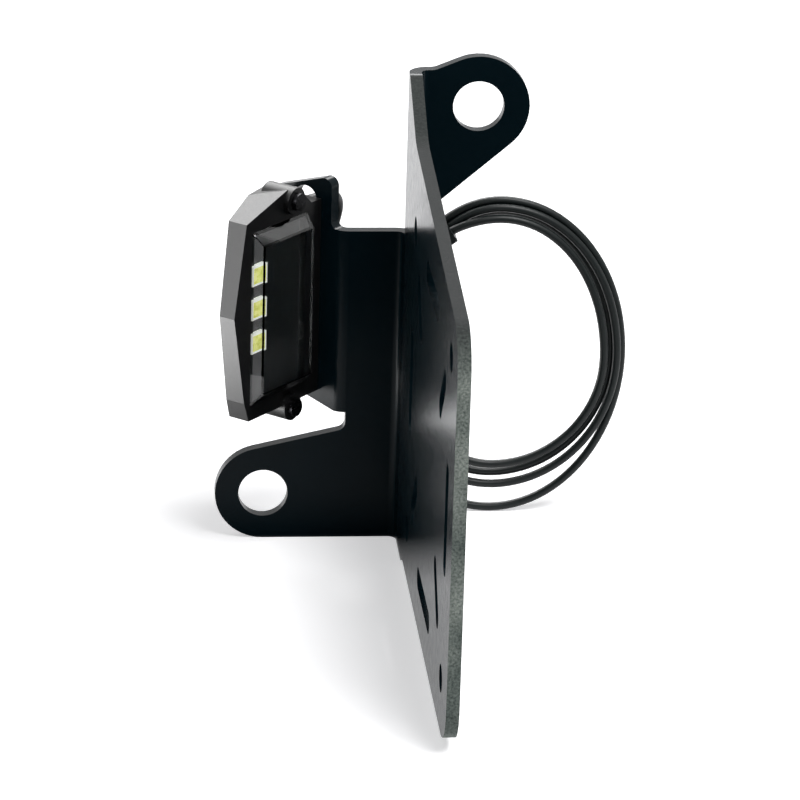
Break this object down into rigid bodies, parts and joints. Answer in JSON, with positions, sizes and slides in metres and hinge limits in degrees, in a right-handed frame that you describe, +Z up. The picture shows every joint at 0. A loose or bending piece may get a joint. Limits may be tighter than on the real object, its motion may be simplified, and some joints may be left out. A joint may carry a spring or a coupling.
{
  "type": "license plate holder",
  "caption": "Folded black sheet bracket that carries a licence plate beside a motorcycle, with slotted plate face, bolt ears, an angled LED plate lamp and its tied lamp lead.",
  "frame": {"origin": "middle of the lower ear's bolt hole on the flange's front face", "axes": "+X from the plate's front face through its back face, +Y from the plate's free edge to the flange, +Z up"},
  "size_m": [0.1038, 0.1523, 0.1243],
  "materials": {
    "powder_coat": "satin black powder coat on steel sheet",
    "lamp_plastic": "satin black moulded plastic",
    "clear_lens": "clear polished",
    "board": "dark solder mask",
    "led": "phosphor yellow",
    "screw_steel": "zinc plated",
    "cable_rubber": "soft black sheath",
    "tie_plastic": "black nylon",
    "tinned_wire": "tinned copper"
  },
  "bodies": {
    "root": {"bracket": "powder_coat", "lamp_housing": "lamp_plastic", "lamp_lens": "clear_lens", "lamp_board": "board", "leds": "led", "lens_screws": "screw_steel", "lamp_studs": "screw_steel", "lamp_washers": "screw_steel", "lamp_nuts": "screw_steel", "cable_gland": "cable_rubber", "cable_lead": "cable_rubber", "cable_coil": "cable_rubber", "cable_tie": "tie_plastic", "cable_tail": "cable_rubber", "cable_cores": "tinned_wire"}
  },
  "joints": []
}
